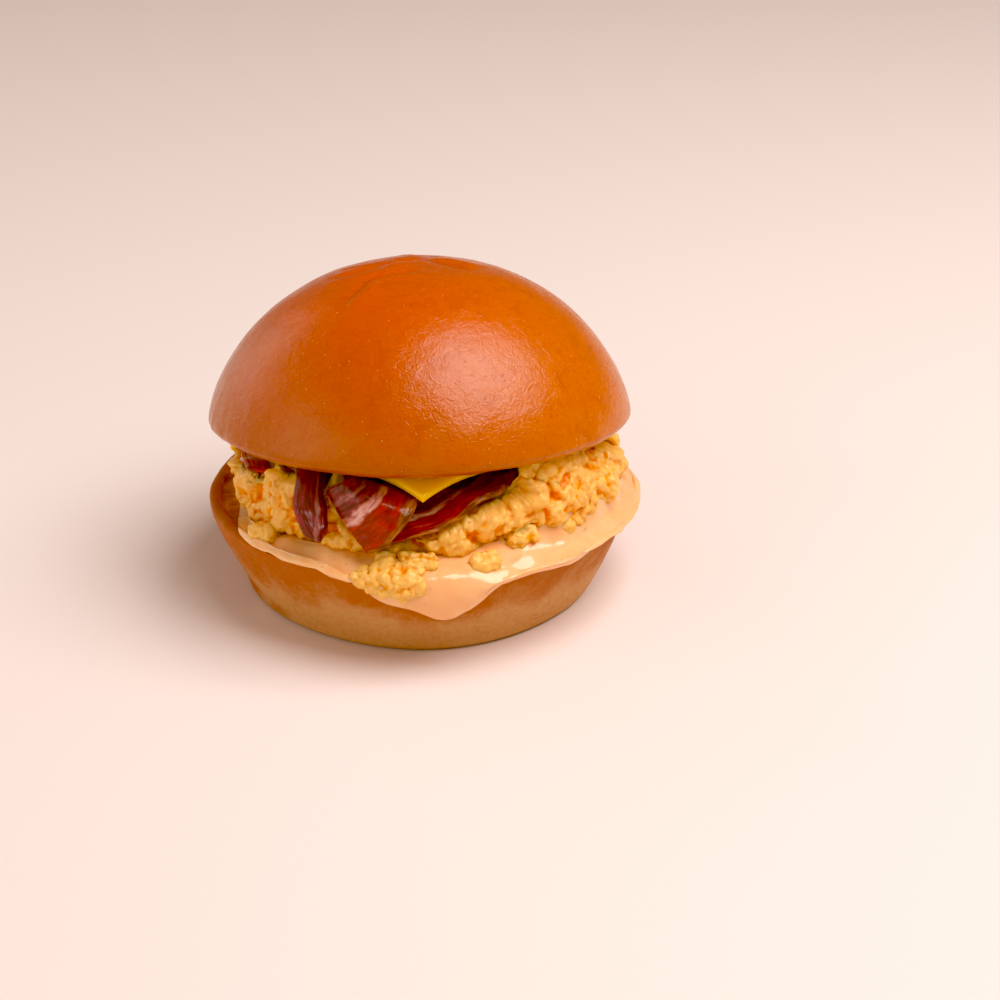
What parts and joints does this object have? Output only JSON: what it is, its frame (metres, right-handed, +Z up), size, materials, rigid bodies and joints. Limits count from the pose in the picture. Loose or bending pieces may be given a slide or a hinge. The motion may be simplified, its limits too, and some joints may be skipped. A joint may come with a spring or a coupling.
{
  "type": "bacon and cheese brioche sandwich",
  "caption": "Glazed brioche bun filled with soft scrambled egg, streaky bacon, sliced cheese and a creamy pink sauce that drips over the front.",
  "frame": {"origin": "middle of the flat underside of the heel, the lower half of the bun", "axes": "+Z up, the front where the filling shows most faces -Y, +X is to the right seen from the front"},
  "size_m": [0.1131, 0.1184, 0.0864],
  "materials": {
    "crust": "glossy egg-washed brioche crust",
    "heel_crust": "matte baked brioche crust",
    "egg": "moist soft scrambled egg",
    "sauce": "glossy creamy sauce with fine specks",
    "cheese": "smooth satin sliced cheese",
    "bacon": "greasy fried streaky bacon"
  },
  "bodies": {
    "root": {"heel": "heel_crust", "sauce": "sauce", "egg": "egg", "bacon_folded": "bacon", "bacon_left": "bacon", "bacon_side": "bacon", "cheese": "cheese", "crown": "crust"}
  },
  "joints": []
}
